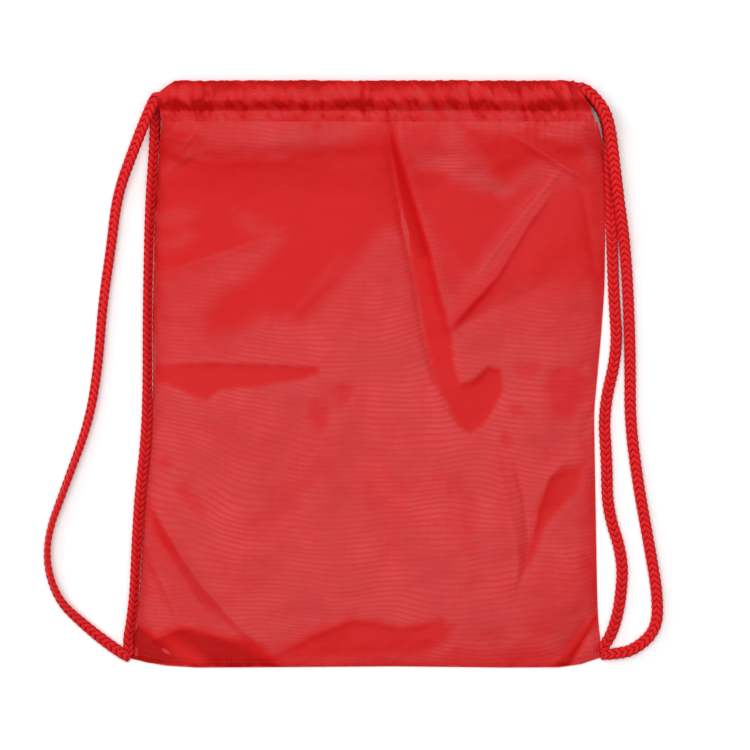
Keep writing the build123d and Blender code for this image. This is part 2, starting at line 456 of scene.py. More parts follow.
def drawcord(side):
    """One braid from corner to corner, cut into its outer strand, tunnel run and inner strand."""
    outer, outer_turn = laid_strand(f"{side}_outer")
    run = evenly(spline_line(TUNNEL_RUNS[side]), RING_STEP)
    inner, inner_turn = laid_strand(f"{side}_inner")
    # In the tunnels the braid's face lies along Y, and is level where the braid leaves them on a slant.
    hidden = run[1:-1]
    centre = np.concatenate([outer[::-1], hidden, inner])
    toward_y = np.array([0, 1.0, 0])
    run_axis = np.tile(toward_y, (len(hidden), 1))
    slanted = np.abs(unit(np.gradient(hidden, axis=0)) @ toward_y) > SLANTED
    run_axis[slanted] = floor_axis(hidden, np.zeros(len(hidden)))[slanted]
    face_axis = np.concatenate(
        [floor_axis(outer[::-1], outer_turn[::-1]), run_axis, floor_axis(inner, inner_turn)]
    )
    across, out = braid_frames(centre, face_axis)
    first_cut, second_cut = len(outer) - 1, len(outer) + len(run) - 2
    ring = np.arange(len(centre))
    from_end = np.minimum(ring, len(centre) - 1 - ring) * RING_STEP
    into_tunnel = np.clip(np.minimum(ring - first_cut, second_cut - ring) * RING_STEP, 0, None)
    girth = 1 - END_THINNING * np.exp(-from_end / (5 * MM))
    girth -= TUNNEL_THINNING * smooth((into_tunnel - 8 * MM) / (8 * MM))
    shape = (centre, across, out, girth)
    pieces = {
        "outer": braid(f"{side}_outer_cord", *shape, 0, first_cut),
        "run": braid(f"{side}_cord_in_tunnels", *shape, first_cut, second_cut),
        "inner": braid(f"{side}_inner_cord", *shape, second_cut, len(centre) - 1),
    }
    for part, piece in pieces.items():
        piece.data.materials.append(CORD_FINISH)
        if part == "run":
            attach(piece, "bag")
            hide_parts(f"{side}_drawcord_channel_run")
            continue
        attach(piece, f"{side}_{part}_loop")
        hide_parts(f"{side}_{part}_strand")


drawcord("left")
drawcord("right")

# ------------ cloth
BOTTOM_Y = -213.5
HEM_LINE_Y = 184.0
MOUTH_Z = 13.2  # the front panel's height where its hem begins
CLOTH_T = 0.35
LEAN_OF_WALL = -1.0  # the cloth's thickness goes inward from its outer face
LEFT_EDGE = [
    (-207, -172.6), (-180, -168.6), (-158, -166), (-84, -162), (-46, -157.8), (-10, -156.4),
    (40, -156.8), (126, -155), (170, -151.2), (184, -149.4),
]
RIGHT_EDGE = [
    (-206, 170.6), (-186, 168.4), (-165, 167.6), (-100, 166.5), (-30, 165.3), (20, 170), (60, 173),
    (126, 173.8), (150, 173.4), (170, 171.4), (177, 169.4), (184, 165.9),
]
BOTTOM_EDGE = [
    (-172.6, -207), (-160, -210), (-146, -212.2), (-124, -213.5), (-60, -213.2), (20, -212.6),
    (100, -213.5), (140, -213.3), (156, -211), (170.6, -206),
]

# Patches of the front panel with little or no painted sheen, so their red is deep: a bent outline,
# how deep its colour is, as how much painted sheen it takes away (1 is deepest), how soft its edge is, and
# how far it sinks or swells.
PATCHES_WITHOUT_PAINTED_SHEEN = [
    ([(-156, 138), (-140, 150), (-124, 158), (-90, 160), (-27, 164), (-6, 172), (13, 188), (21, 142),
      (29, 106), (12, 108), (-3, 89), (-22, 65), (-46, 38), (-60, 41), (-76, 43), (-86, 36), (-100, 32),
      (-117, 30), (-119, 42), (-110, 58), (-81, 77), (-62, 99), (-88, 92), (-112, 84), (-132, 76),
      (-158, 72)], 0.92, 9, -0.8),
    ([(13, 196), (19, 184), (25, 162), (31, 142), (38, 118), (48, 86), (55, 52), (61, 30), (63, 8),
      (68, -6), (77, -4), (87, 6), (97, 4), (99, -11), (92, -25), (84, -37), (75, -43), (66, -37),
      (58, -22), (50, -6), (42, 25), (39, 45), (35, 67), (28, 101), (21, 137),
      (14, 174)], 0.93, 2.2, -1.6),
    ([(58, 34), (70, 55), (94, 77), (118, 115), (140, 139), (168, 150), (170, 108), (150, 87), (134, 78),
      (118, 67), (94, 55), (72, 41)], 0.60, 6, 0.7),
    ([(60, 33), (70, 47), (90, 66), (98, 62), (86, 50), (72, 40)], 0.75, 3, -0.6),
    ([(26, 162), (50, 150), (70, 142), (106, 125), (96, 104), (82, 86), (70, 66), (65, 52), (53, 72),
      (41, 118), (33, 142)], 0.62, 9, 0.5),
    ([(65, 184), (78, 178), (94, 176), (108, 177), (119, 181), (132, 168), (148, 150), (126, 157),
      (112, 148), (102, 137), (92, 148), (84, 157), (74, 168)], 0.85, 5, -1.0),
    ([(126, 173), (142, 171), (157, 167), (162, 142), (143, 152)], 0.75, 4, -0.6),
    ([(124, 92), (140, 96), (168, 100), (168, 70), (150, 66), (134, 72), (118, 64)], 0.55, 5, 0.4),
    ([(-157, 7), (-130, 8), (-96, 8), (-60, 7), (-37, 6), (-34, 1), (-48, -3), (-64, -6), (-86, -9),
      (-108, -11), (-117, -19), (-127, -16), (-138, -10), (-153, -4)], 0.88, 2.4, -0.7),
    ([(-44, -20), (-36, -18), (-28, -24), (-28, -36), (-34, -42), (-40, -36), (-44, -28)], 0.6, 4, -0.4),
    ([(-24, -8), (-16, -5), (-10, -10), (-14, -20), (-20, -24), (-24, -18)], 0.55, 4, -0.3),
    ([(105, 5), (112, 9), (124, 8), (127, 3), (120, -2), (110, -1)], 0.55, 3.5, -0.3),
    ([(131, 2), (142, 7), (156, 4), (162, -6), (158, -20), (148, -32), (138, -34), (132, -24),
      (128, -12)], 0.66, 5, -0.6),
    ([(104, -20), (112, -22), (114, -28), (107, -31), (103, -27)], 0.55, 3, -0.2),
    ([(98, -40), (102, -42), (107, -50), (101, -53), (96, -49)], 0.55, 2.5, -0.2),
    ([(153, -47), (159, -47), (160, -55), (154, -55)], 0.5, 2.5, -0.2),
    ([(160, -62), (146, -68), (133, -74), (127, -85), (123, -96), (120, -112), (117, -126), (114, -143),
      (119, -138), (124, -125), (129, -112), (134, -105), (144, -94), (153, -84)], 0.85, 3, -0.9),
    ([(-128, 196), (-124, 188), (-119, 182), (-115, 186), (-121, 194)], 0.8, 2.2, -0.4),
    ([(-145, 176), (-137, 177), (-125, 176), (-121, 172), (-132, 167), (-141, 170)], 0.85, 2.6, -0.8),
    ([(-150, 165), (-137, 162), (-127, 158), (-124, 154), (-137, 155), (-149, 160)], 0.75, 2.6, -0.6),
    ([(-148, 189), (-142, 184), (-130, 181), (-142, 179), (-149, 182)], 0.6, 2.4, -0.4),
    ([(116, 198), (123, 181), (136, 176), (128, 189), (121, 196)], 0.7, 2.4, -0.6),
    ([(157, 174), (167, 172), (170, 162), (162, 164)], 0.6, 2.6, -0.5),
    ([(24, 183), (53, 183), (57, 135), (99, 131), (126, 139), (75, 77), (53, 102),
      (35, 128)], 0.6, 6, 0.0),
    ([(141, 135), (170, 135), (171, 62), (111, 55), (66, 37), (90, 70)], 0.35, 6, 0.0),
    ([(-42, 183), (-38, 177), (-33, 180), (-35, 184)], 0.7, 1.8, -0.3),
    ([(-95, -111), (-64, -81), (-30, -60), (-25, -72), (-54, -96), (-83, -120)], 0.26, 10, -0.4),
    ([(-10, -67), (14, -72), (31, -77), (26, -111), (14, -140), (7, -130), (-1, -96)], 0.22, 6, -0.3),
    ([(53, -72), (72, -67), (82, -106), (80, -145), (68, -140), (60, -101)], 0.24, 8, -0.4),
    ([(89, -48), (106, -77), (111, -111), (104, -154), (97, -120)], 0.22, 5, -0.3),
    ([(-164, -91), (-137, -120), (-117, -154), (-100, -181), (-142, -179), (-161, -145)], 0.34, 5, -0.3),
    ([(160, -47), (168, -96), (168, -169), (157, -145), (155, -84)], 0.32, 6, 0.0),
    ([(133, -130), (155, -145), (148, -181), (124, -203), (111, -184)], 0.28, 8, 0.0),
    ([(-108, -193), (136, -201), (136, -216), (-108, -216)], 0.42, 5, 0.0),
    ([(-139, -82), (-132, -78), (-124, -88), (-116, -98), (-118, -104), (-128, -98),
      (-136, -90)], 0.6, 4, -0.4),
    ([(-155, -62), (-147, -60), (-142, -66), (-150, -70)], 0.5, 3, -0.2),
    ([(-178, -178), (-168, -183), (-154, -187), (-137, -181), (-118, -185), (-100, -189), (-83, -193),
      (-70, -203), (-60, -214), (-110, -216), (-156, -211), (-176, -209)], 0.97, 5, -0.8),
    ([(-66, -206), (-50, -192), (-35, -184), (-22, -179), (-10, -176), (8, -179), (26, -183), (40, -180),
      (53, -177), (63, -184), (58, -194), (46, -202), (10, -205), (-30, -207)], 0.85, 4.5, -0.8),
    ([(170, -172), (164, -184), (156, -199), (148, -214), (130, -215), (138, -207), (146, -197),
      (156, -184)], 0.95, 2.6, -1.0),
]
# Islands of painted sheen inside the first patch without it: an outline, how much paler it is, and its
# edge's softness.
PAINTED_SHEEN_ISLANDS = [
    ([(-156, 116), (-146, 120), (-132, 122), (-122, 120), (-128, 112), (-138, 108), (-150, 110)], 0.42, 6),
    ([(-156, 96), (-146, 100), (-132, 106), (-124, 102), (-134, 94), (-148, 90)], 0.42, 6),
    ([(-98, 120), (-88, 116), (-72, 110), (-62, 106), (-70, 100), (-82, 102), (-92, 108)], 0.42, 7),
    ([(-22, 90), (-12, 84), (-20, 74), (-34, 62), (-46, 50), (-54, 46), (-48, 56), (-34, 74)], 0.22, 3),
    ([(33, 160), (52, 160), (74, 152), (92, 142), (104, 133), (98, 128), (78, 138), (56, 148),
      (36, 152)], 0.5, 5),
]
# Painted shade in the deepest folds, where little light reaches: an outline, how much deeper its colour is,
# and its softness.
PAINTED_FOLD_SHADE = [
    ([(14, 194), (21, 176), (29, 148), (38, 118), (47, 87), (37, 84), (29, 108), (22, 140),
      (16, 168)], 0.5, 2.4),
    ([(-178, -176), (-168, -182), (-158, -190), (-146, -199), (-132, -212), (-176, -208)], 0.85, 4),
    ([(-146, -186), (-132, -184), (-112, -190), (-90, -197), (-66, -213), (-110, -214)], 0.7, 5),
    ([(170, -173), (165, -182), (157, -196), (147, -213), (136, -214), (148, -198),
      (158, -184)], 0.7, 2.4),
    ([(-160, 136), (-150, 142), (-149, 120), (-158, 122)], 0.35, 4),
    ([(-160, -92), (-150, -110), (-136, -134), (-142, -138), (-156, -116)], 0.4, 3),
    ([(58, 33), (72, 46), (84, 60), (88, 58), (74, 42), (62, 31)], 0.3, 2),
]
# Creases: a bent line, half width at its start and end, height (negative is a valley), and lean.
CREASES = [
    ([(13, 194), (20, 172), (28, 146), (37, 118), (47, 86), (54, 54), (60, 30)], 2.5, 6, 3.4, 0.45),
    ([(13, 192), (19, 150), (27, 105), (35, 66), (41, 30), (50, -6), (62, -32)], 3, 8, -2.6, -0.3),
    ([(60, 31), (72, 48), (94, 72), (118, 112), (140, 141)], 2.5, 5, 2.0, 0.5),
    ([(60, 30), (78, 40), (98, 51), (122, 62), (150, 72)], 3, 6, -1.2, 0.3),
    ([(99, 178), (116, 168), (138, 154), (162, 141)], 1.2, 1.8, 2.0, 0.2),
    ([(142, 150), (122, 128), (104, 106), (88, 84), (76, 64)], 1.4, 2.4, 1.5, 0.3),
    ([(-146, 175), (-136, 170), (-124, 172)], 1.8, 2.6, 1.3, 0.2),
    ([(-150, 165), (-137, 159), (-123, 157)], 2.0, 2.8, 1.2, 0.2),
    ([(-154, 147), (-140, 152), (-128, 160), (-120, 168)], 2.0, 2.6, 1.0, -0.2),
    ([(68, -6), (78, -3), (88, 7), (97, 4), (100, -10)], 2, 3, 0.9, 0.0),
    ([(-17, 91), (-30, 70), (-46, 52), (-54, 40)], 2.5, 3, 0.7, 0.0),
    ([(-157, 8), (-110, 9.5), (-60, 8), (-34, 5)], 1.2, 1.2, 0.8, 0.4),
    ([(-150, 74), (-112, 86), (-88, 95), (-62, 102)], 5, 8, 1.2, 0.0),
    ([(-161, -90), (-150, -108), (-137, -130), (-122, -152), (-104, -172), (-84, -192),
      (-62, -212)], 3, 5, 2.0, 0.4),
    ([(-162, -100), (-152, -120), (-140, -140), (-126, -162), (-110, -184)], 4, 6, -1.6, 0.0),
    ([(-164, -128), (-152, -146), (-142, -166), (-136, -184)], 3, 5, 1.2, 0.2),
    ([(-170, -196), (-150, -190), (-134, -182), (-112, -188), (-90, -196)], 2.5, 4, 1.2, -0.3),
    ([(-168, -186), (-150, -200), (-128, -212)], 3, 4, -1.2, 0.0),
    ([(90, -48), (98, -80), (106, -112), (110, -140), (106, -168)], 5, 7, 1.4, 0.2),
    ([(104, -50), (114, -88), (118, -120), (113, -146), (104, -172)], 3, 4, -1.3, 0.0),
    ([(2, -70), (12, -100), (14, -130), (6, -158)], 7, 9, -0.7, 0.0),
    ([(32, -60), (30, -92), (22, -124), (14, -150)], 6, 9, 0.7, 0.0),
    ([(60, -62), (68, -96), (72, -132), (70, -166)], 6, 9, 0.8, 0.1),
    ([(-36, -42), (-20, -66), (-4, -84), (6, -98)], 4, 6, 0.6, 0.0),
    ([(168, -172), (158, -188), (148, -202), (140, -214)], 1.8, 3, 1.4, -0.5),
    ([(163, -176), (150, -194), (134, -213)], 2.5, 4, -1.5, 0.0),
    ([(148, -58), (132, -74), (124, -98), (117, -130)], 2.4, 3, 1.1, 0.3),
    ([(-66, -204), (-40, -190), (-10, -178), (26, -185), (54, -179)], 3, 4, 0.9, 0.2),
    ([(-120, 188), (-126, 176), (-134, 166), (-146, 160)], 1.8, 2.6, 1.1, 0.2),
    ([(-112, 186), (-118, 170), (-130, 156), (-148, 146)], 2, 3, -1.0, 0.0),
    ([(-136, 188), (-140, 178), (-150, 171)], 1.6, 2.2, 1.0, 0.0),
    ([(-28, 190), (-34, 181), (-46, 177)], 1.4, 2.2, -0.7, 0.0),
    ([(118, 196), (124, 186), (133, 176)], 2.0, 3, 1.2, 0.3),
    ([(142, 192), (150, 182), (160, 172)], 1.8, 2.6, -1.0, 0.0),
    ([(150, 150), (158, 128), (163, 100), (166, 74)], 2.5, 3.5, -0.8, 0.0),
]
# A crease higher than this height gets a painted highlight along its ridge.
PAINTED_HIGHLIGHT_CREASE_HEIGHT = 0.95  # a crease higher than this has a pale ridge


def line_distance(x, y, points):
    """How far each place is from a bent line, on which side of it, and how far along (0 to 1)."""
    nearest = np.full(x.shape, 1e9)
    side, along = np.zeros(x.shape), np.zeros(x.shape)
    total, gone = sum(math.dist(a, b) for a, b in zip(points, points[1:])), 0.0
    for a, b in zip(points, points[1:]):
        length = math.dist(a, b)
        ux, uy = (b[0] - a[0]) / length, (b[1] - a[1]) / length
        t = np.clip((x - a[0]) * ux + (y - a[1]) * uy, 0, length)
        off_x, off_y = x - a[0] - ux * t, y - a[1] - uy * t
        distance = np.hypot(off_x, off_y)
        near = distance < nearest
        nearest = np.where(near, distance, nearest)
        side = np.where(near, (ux * off_y - uy * off_x) / np.maximum(distance, 0.4), side)
        along = np.where(near, (gone + t) / total, along)
        gone += length
    return nearest, side, along


def inside(x, y, outline):
    """True where a place is inside a closed outline."""
    found = np.zeros(x.shape, bool)
    for a, b in zip(outline, outline[1:] + outline[:1]):
        if a[1] == b[1]:
            continue
        crosses = (a[1] > y) != (b[1] > y)
        found ^= crosses & (x < (b[0] - a[0]) * (y - a[1]) / (b[1] - a[1]) + a[0])
    return found


def patch_share(x, y, outline, softness):
    """1 inside a patch and 0 outside, with a soft edge."""
    distance = line_distance(x, y, outline + outline[:1])[0]
    signed = np.where(inside(x, y, outline), distance, -distance)
    return smooth(0.5 + signed / (2 * softness))


def ripple(x, y, scale_x, scale_y, seed):
    """Soft noise from about -1 to 1 over places in millimetres."""
    return np.array(
        [noise.noise(Vector((a / scale_x, b / scale_y, seed))) for a, b in zip(x.ravel(), y.ravel())]
    ).reshape(x.shape) * 1.6


def crease_fade(along):
    """A crease comes in and dies out toward its ends."""
    return smooth(along * 5) * smooth((1 - along) * 4)


def crease_height(x, y):
    total = np.zeros(x.shape)
    for points, start_width, end_width, height, lean in CREASES:
        distance, side, along = line_distance(x, y, points)
        width = (start_width + (end_width - start_width) * along) * (1 + lean * side)
        rounded = np.sqrt(distance**2 + 1.1**2) - 1.1
        total += height * (0.25 + 0.75 * crease_fade(along)) * np.exp(-rounded / width)
    return total


def panel_grid(columns, rows):
    """Places of a panel's grid in millimetres, and each place's distance from the seams."""
    u = np.linspace(0, 1, columns)
    u = u - 0.018 * np.sin(2 * math.pi * u)  # closer columns near the side seams
    v = np.linspace(0, 1, rows)[:, None]
    tall = np.linspace(BOTTOM_Y, HEM_LINE_Y, 400)
    left = softened(np.interp(tall, *zip(*LEFT_EDGE)), 14)
    right = softened(np.interp(tall, *zip(*RIGHT_EDGE)), 14)
    level = BOTTOM_Y + (HEM_LINE_Y - BOTTOM_Y) * v
    low_x, high_x = np.interp(level, tall, left), np.interp(level, tall, right)
    x = low_x + (high_x - low_x) * u
    bottom = np.interp(x, *zip(*BOTTOM_EDGE))
    y = bottom + (HEM_LINE_Y - bottom) * v
    from_side = np.minimum(x - x[:, :1], x[:, -1:] - x)
    from_bottom = y - y[:1, :]
    return x, y, from_side, from_bottom


def front_height(x, y, from_side, from_bottom):
    """Height of the front panel in millimetres."""
    from_seam = np.minimum(from_side, from_bottom)
    near_mouth = smooth((y - 128) / 56)
    free_edge = smooth((y - 158) / 26)
    swell = 4.4 + 1.6 * ripple(x, y, 120, 90, 3.1) + 1.2 * ripple(x, y, 50, 45, 7.7)
    body = swell + (MOUTH_Z - swell) * near_mouth
    wrinkles = crease_height(x, y)
    for outline, _, softness, sink in PATCHES_WITHOUT_PAINTED_SHEEN:
        wrinkles += sink * patch_share(x, y, outline, softness + 3)
    wrinkles += 0.30 * ripple(x, y, 22, 11, 1.3) + 0.12 * ripple(x, y, 8, 5, 9.2)
    rise = 1 - np.exp(-from_seam / 13)
    pucker = 0.55 * ripple(x, y, 9, 7, 5.5) * np.exp(-from_seam / 7) * smooth(from_seam / 2)
    gather = 0.5 * ripple(x, y, 3.4, 60, 2.2) * smooth((y - 160) / 22)
    rest = 0.55 + body * rise + wrinkles * smooth(from_seam / 14) * (1 - 0.75 * smooth((y - 172) / 12))
    rest += pucker + gather * smooth(from_seam / 10)
    lifted = MOUTH_Z * (1 - 0.16 * np.exp(-from_side / 9)) + gather
    rest = rest + (np.maximum(lifted, rest) - rest) * free_edge
    meeting = smooth((y - 176) / 8)
    return np.maximum(rest * (1 - meeting) + lifted * meeting, 0.45)


def front_painted_sheen_and_shade(x, y, from_seam):
    """How much painted sheen the cloth has, from 1 (palest) to 0 (deep red), with painted highlights on high
    creases and painted shade in the deepest folds and along the seams.
    """
    # Painted sheen, with less of it toward the mouth and on the upper left.
    painted_sheen_and_shade = 0.97 + 0.12 * ripple(x, y, 70, 50, 4.4) - 0.26 * smooth((y + 10) / 90)
    painted_sheen_and_shade -= 0.24 * smooth((-60 - x) / 70) * smooth((y + 20) / 50)
    ragged_edge = 1.1 * ripple(x - 0.8 * y, y, 12, 6, 8.8) + 0.7 * ripple(x - 0.5 * y, y, 4.5, 3, 3.7)
    for outline, depth, softness, _ in PATCHES_WITHOUT_PAINTED_SHEEN:
        ragged = ragged_edge * min(softness, 7) / 4
        painted_sheen_and_shade = painted_sheen_and_shade * (1 - depth * patch_share(x + ragged, y + ragged, outline, softness))
    for outline, lift, softness in PAINTED_SHEEN_ISLANDS:
        painted_sheen_and_shade = painted_sheen_and_shade + lift * patch_share(x + ragged_edge * 1.6, y + ragged_edge, outline, softness)
    painted_sheen_and_shade = painted_sheen_and_shade * (1 + 0.13 * ripple(x, y, 9, 6, 12.3) + 0.09 * ripple(x, y, 3.6, 3.2, 14.1))
    painted_sheen_and_shade = 0.2 + 0.8 * np.clip(painted_sheen_and_shade, 0, 1)
    # Painted highlight along the ridge of each high crease.
    for points, _, _, height, _ in CREASES:
        if height > PAINTED_HIGHLIGHT_CREASE_HEIGHT:
            distance, _, along = line_distance(x, y, points)
            painted_sheen_and_shade = painted_sheen_and_shade + 0.22 * np.exp(-((distance / 1.3) ** 2)) * crease_fade(along)
    # Painted shade in the deepest folds.
    for outline, depth, softness in PAINTED_FOLD_SHADE:
        painted_sheen_and_shade = painted_sheen_and_shade * (1 - depth * patch_share(x, y, outline, softness))
    # Painted shade along the seams, where the cloth rounds down.
    painted_sheen_and_shade -= 0.30 * np.exp(-from_seam / 3.0) * (0.6 + 0.6 * ripple(x, y, 6, 6, 6.1))
    return np.clip(painted_sheen_and_shade, 0, 1)


def cloth_grid(name, x, y, z, painted_sheen_and_shade, flip=False):
    """A grid of cloth with its attribute of painted sheen and shade, and a map along its threads."""
    rows, columns = x.shape
    places = (np.stack([x, y, z], axis=2).reshape(-1, 3) * MM).tolist()
    bend = y + 1.3 * z + 13.0 * ripple(x, y, 160, 110, 6.6) + 3.2 * ripple(x, y, 46, 40, 2.9)
    faces, runs = [], []
    for row in range(rows - 1):
        for column in range(columns - 1):
            corners = [(row, column), (row, column + 1), (row + 1, column + 1), (row + 1, column)]
            if flip:
                corners.reverse()
            faces.append(tuple(r * columns + c for r, c in corners))
            runs.append([(x[r, c] * MM, bend[r, c] * MM) for r, c in corners])
    made = finished_mesh(name, places, faces, runs)
    layer = made.data.attributes.new("painted_sheen_and_shade", "FLOAT", "POINT")
    layer.data.foreach_set("value", painted_sheen_and_shade.ravel().astype(np.float32))
    return made


def give_wall(piece):
    """Turn a surface into cloth with a thickness."""
    wall = piece.modifiers.new("cloth_wall", "SOLIDIFY")
    wall.thickness = CLOTH_T * MM
    wall.offset = LEAN_OF_WALL
    applied = piece.evaluated_get(bpy.context.evaluated_depsgraph_get())
    mesh = bpy.data.meshes.new_from_object(applied)
    mesh.set_sharp_from_angle(angle=math.radians(62))
    piece.modifiers.clear()
    piece.data = mesh


RIB_STEP = 3.65 * MM
CLOSE_RIB_STEP = 1.3 * MM
WARP_STEP = 0.45 * MM
WEFT_STEP = 0.5 * MM


def nylon():
    """Thin plain-woven nylon whose colour holds painted sheen and shade: pale and ribbed where the painted
    sheen is high, deep red where it is low.
    """
    finish = Finish("red_nylon")
    painted_sheen_and_shade = finish.attribute("painted_sheen_and_shade")
    run_x, run_y, _ = finish.parts(finish.uv())
    where = finish.object_place()
    drift = finish.clouds(where, 26.0, 3.0)
    ribs = (run_y * (2 * math.pi / RIB_STEP) + drift * 7.0 + run_x * 90.0).sine() * 0.5 + 0.5
    close_ribs = (run_y * (2 * math.pi / CLOSE_RIB_STEP)).sine() * 0.5 + 0.5
    uprights = finish.streaks(run_x * 420.0, run_y * 22.0, 3.0)
    mottle = finish.clouds(where, 90.0, 3.0)
    # The ribs' dark lines in the colour are scaled by the painted sheen, so they show mostly within it.
    shown_ribs = (ribs * 1.6 - 0.6).clamped() * (0.12 + 0.88 * painted_sheen_and_shade) * (drift * 2.6 - 0.6).clamped()
    grain = 0.9 * (mottle - 0.5) + 0.5 * (uprights - 0.5)
    share = ((painted_sheen_and_shade - 0.2) * 1.25 * (1.0 + grain)).clamped()
    warp = (run_x * (2 * math.pi / WARP_STEP)).sine()
    weft = (run_y * (2 * math.pi / WEFT_STEP)).sine()
    weave = (warp * weft) * 0.5 + 0.5
    slub = finish.streaks(run_x * 140.0, run_y * 1900.0, 2.0)
    crinkle = finish.clouds(where, 130.0, 4.0, 0.6)
    low = finish.bump(crinkle, 0.5 * MM, 0.35)
    mid = finish.bump(ribs * 0.6 + close_ribs * 0.2 + slub * 0.3, 0.10 * MM, 0.5, under=low)
    # Painted shade: where the painted sheen drops below a fifth, the red turns darker.
    red_with_painted_shade = finish.mix((painted_sheen_and_shade * 5.0).clamped(), (0.36, 0.0004, 0.0006), (0.56, 0.0060, 0.0066))
    # The painted sheen's colour, paler where the large clouds are brighter.
    lit = (drift * 2.6 - 0.8).clamped()
    painted_sheen_colour = finish.mix(lit, (0.505, 0.022, 0.024), (0.610, 0.036, 0.038))
    # The deep red and the painted sheen's colour, mixed by the painted sheen with some grain.
    cloth = finish.mix(share, red_with_painted_shade, painted_sheen_colour)
    finish.surface(
        Base_Color=finish.mix(shown_ribs * 0.52, cloth, (0.46, 0.007, 0.009)),
        Roughness=0.42 - 0.05 * painted_sheen_and_shade + 0.08 * mottle,
        Normal=finish.bump(weave, 0.05 * MM, 0.6, under=mid),
        Coat_Weight=0.02 + 0.16 * painted_sheen_and_shade,
        Coat_Roughness=0.30,
        Specular_IOR_Level=0.06,
    )
    return finish.material


NYLON = nylon()


def front_panel_cloth():
    x, y, from_side, from_bottom = panel_grid(columns=196, rows=232)
    z = front_height(x, y, from_side, from_bottom)
    painted_sheen_and_shade = front_painted_sheen_and_shade(x, y, np.minimum(from_side, from_bottom))
    piece = cloth_grid("front_panel_cloth", x, y, z, painted_sheen_and_shade)
    give_wall(piece)
    return piece, (x, y, z)


def back_panel_cloth():
    x, y, from_side, from_bottom = panel_grid(columns=120, rows=144)
    from_seam = np.minimum(from_side, from_bottom)
    z = 0.30 + 0.18 * smooth(from_seam / 10) * (1 + ripple(x, y, 30, 18, 11.5))
    # Painted sheen on the back panel, varying at random.
    painted_sheen_and_shade = np.clip(0.75 + 0.3 * ripple(x, y, 60, 50, 12.1), 0, 1)
    piece = cloth_grid("back_panel_cloth", x, y, z, painted_sheen_and_shade, flip=True)
    give_wall(piece)
    return piece


front_cloth, front_grid = front_panel_cloth()
back_cloth = back_panel_cloth()

# The hems' ends are cut on a slant, so each level of Y has its own ends.
HEM_LEFT_END = [(184, -149.4), (196, -151.5), (202, -152.5), (206, -149.5), (210, -144), (213.5, -139)]
HEM_RIGHT_END = [
    (183, 165.9), (187, 164.3), (190.5, 163.2), (194, 162.0), (198, 159.6), (203, 155.8), (208, 152.2),
    (213.5, 149.5),
]
# Where the gathers bunch up along the tunnels, and how tight.
GATHERS = [
    (-146, 2.0, 0.9), (-138, 2.4, 1.0), (-126, 1.8, 0.9), (-119, 2.0, 1.1), (-111, 2.4, 0.8),
    (-86, 3.0, 0.5), (-60, 4.0, 0.5), (-34, 2.4, 0.7), (-3, 1.6, 1.3), (3, 2.2, 0.9), (30, 4.0, 0.5),
    (75, 1.8, 1.0), (82, 3.0, 0.6), (111, 2.2, 1.1), (119, 2.0, 0.9), (131, 2.2, 0.8), (141, 1.8, 1.1),
    (149, 2.0, 1.2), (156, 2.0, 0.8),
]
TUNNEL_Y = 204.1
TUNNEL_HALF_WIDTH = 9.3
TUNNEL_HALF_HEIGHT = 3.45
HEM_FLAT_Y = (183.7, 191)  # where the flat part begins and ends
TUNNEL_CORNER = 2.5  # 2 would make the tunnel's section an ellipse
TURNED_IN_Y = 194.5  # where the folded layer leaves the tunnel underneath
OUTSIDE_ROWS = 30  # rows of the section that are on the hem's outside
SKEW_Y = 204  # the gathers' slants turn about this line
HEM_COLUMNS = 400


def hem_profile(middle_z, flat_z, flat_below):
    """One hem's section as (y, z, share round the tunnel), along the outside and back underneath."""
    crown = middle_z + TUNNEL_HALF_HEIGHT
    flat_low, flat_high = HEM_FLAT_Y
    outside = [(y, flat_z, 0.0) for y in np.linspace(flat_low, flat_high, 7)]
    climb = [
        (flat_high + 9 * t, flat_z + (crown - flat_z) * float(smooth(t) ** 0.7), float(smooth(t * 1.6)))
        for t in np.linspace(0, 1, 13)[1:]
    ]
    round_tunnel = []
    for turn in np.radians(np.linspace(104, -176, 26)[1:]):
        c, s = math.cos(turn), math.sin(turn)
        reach = (abs(c) ** TUNNEL_CORNER + abs(s) ** TUNNEL_CORNER) ** (-1 / TUNNEL_CORNER)
        round_tunnel.append(
            (TUNNEL_Y + TUNNEL_HALF_WIDTH * c * reach, middle_z + TUNNEL_HALF_HEIGHT * s * reach, 1.0)
        )
    under = [(y, flat_below, 0.0) for y in np.linspace(TURNED_IN_Y, flat_low, 7)[1:]]
    return outside + climb + round_tunnel + under


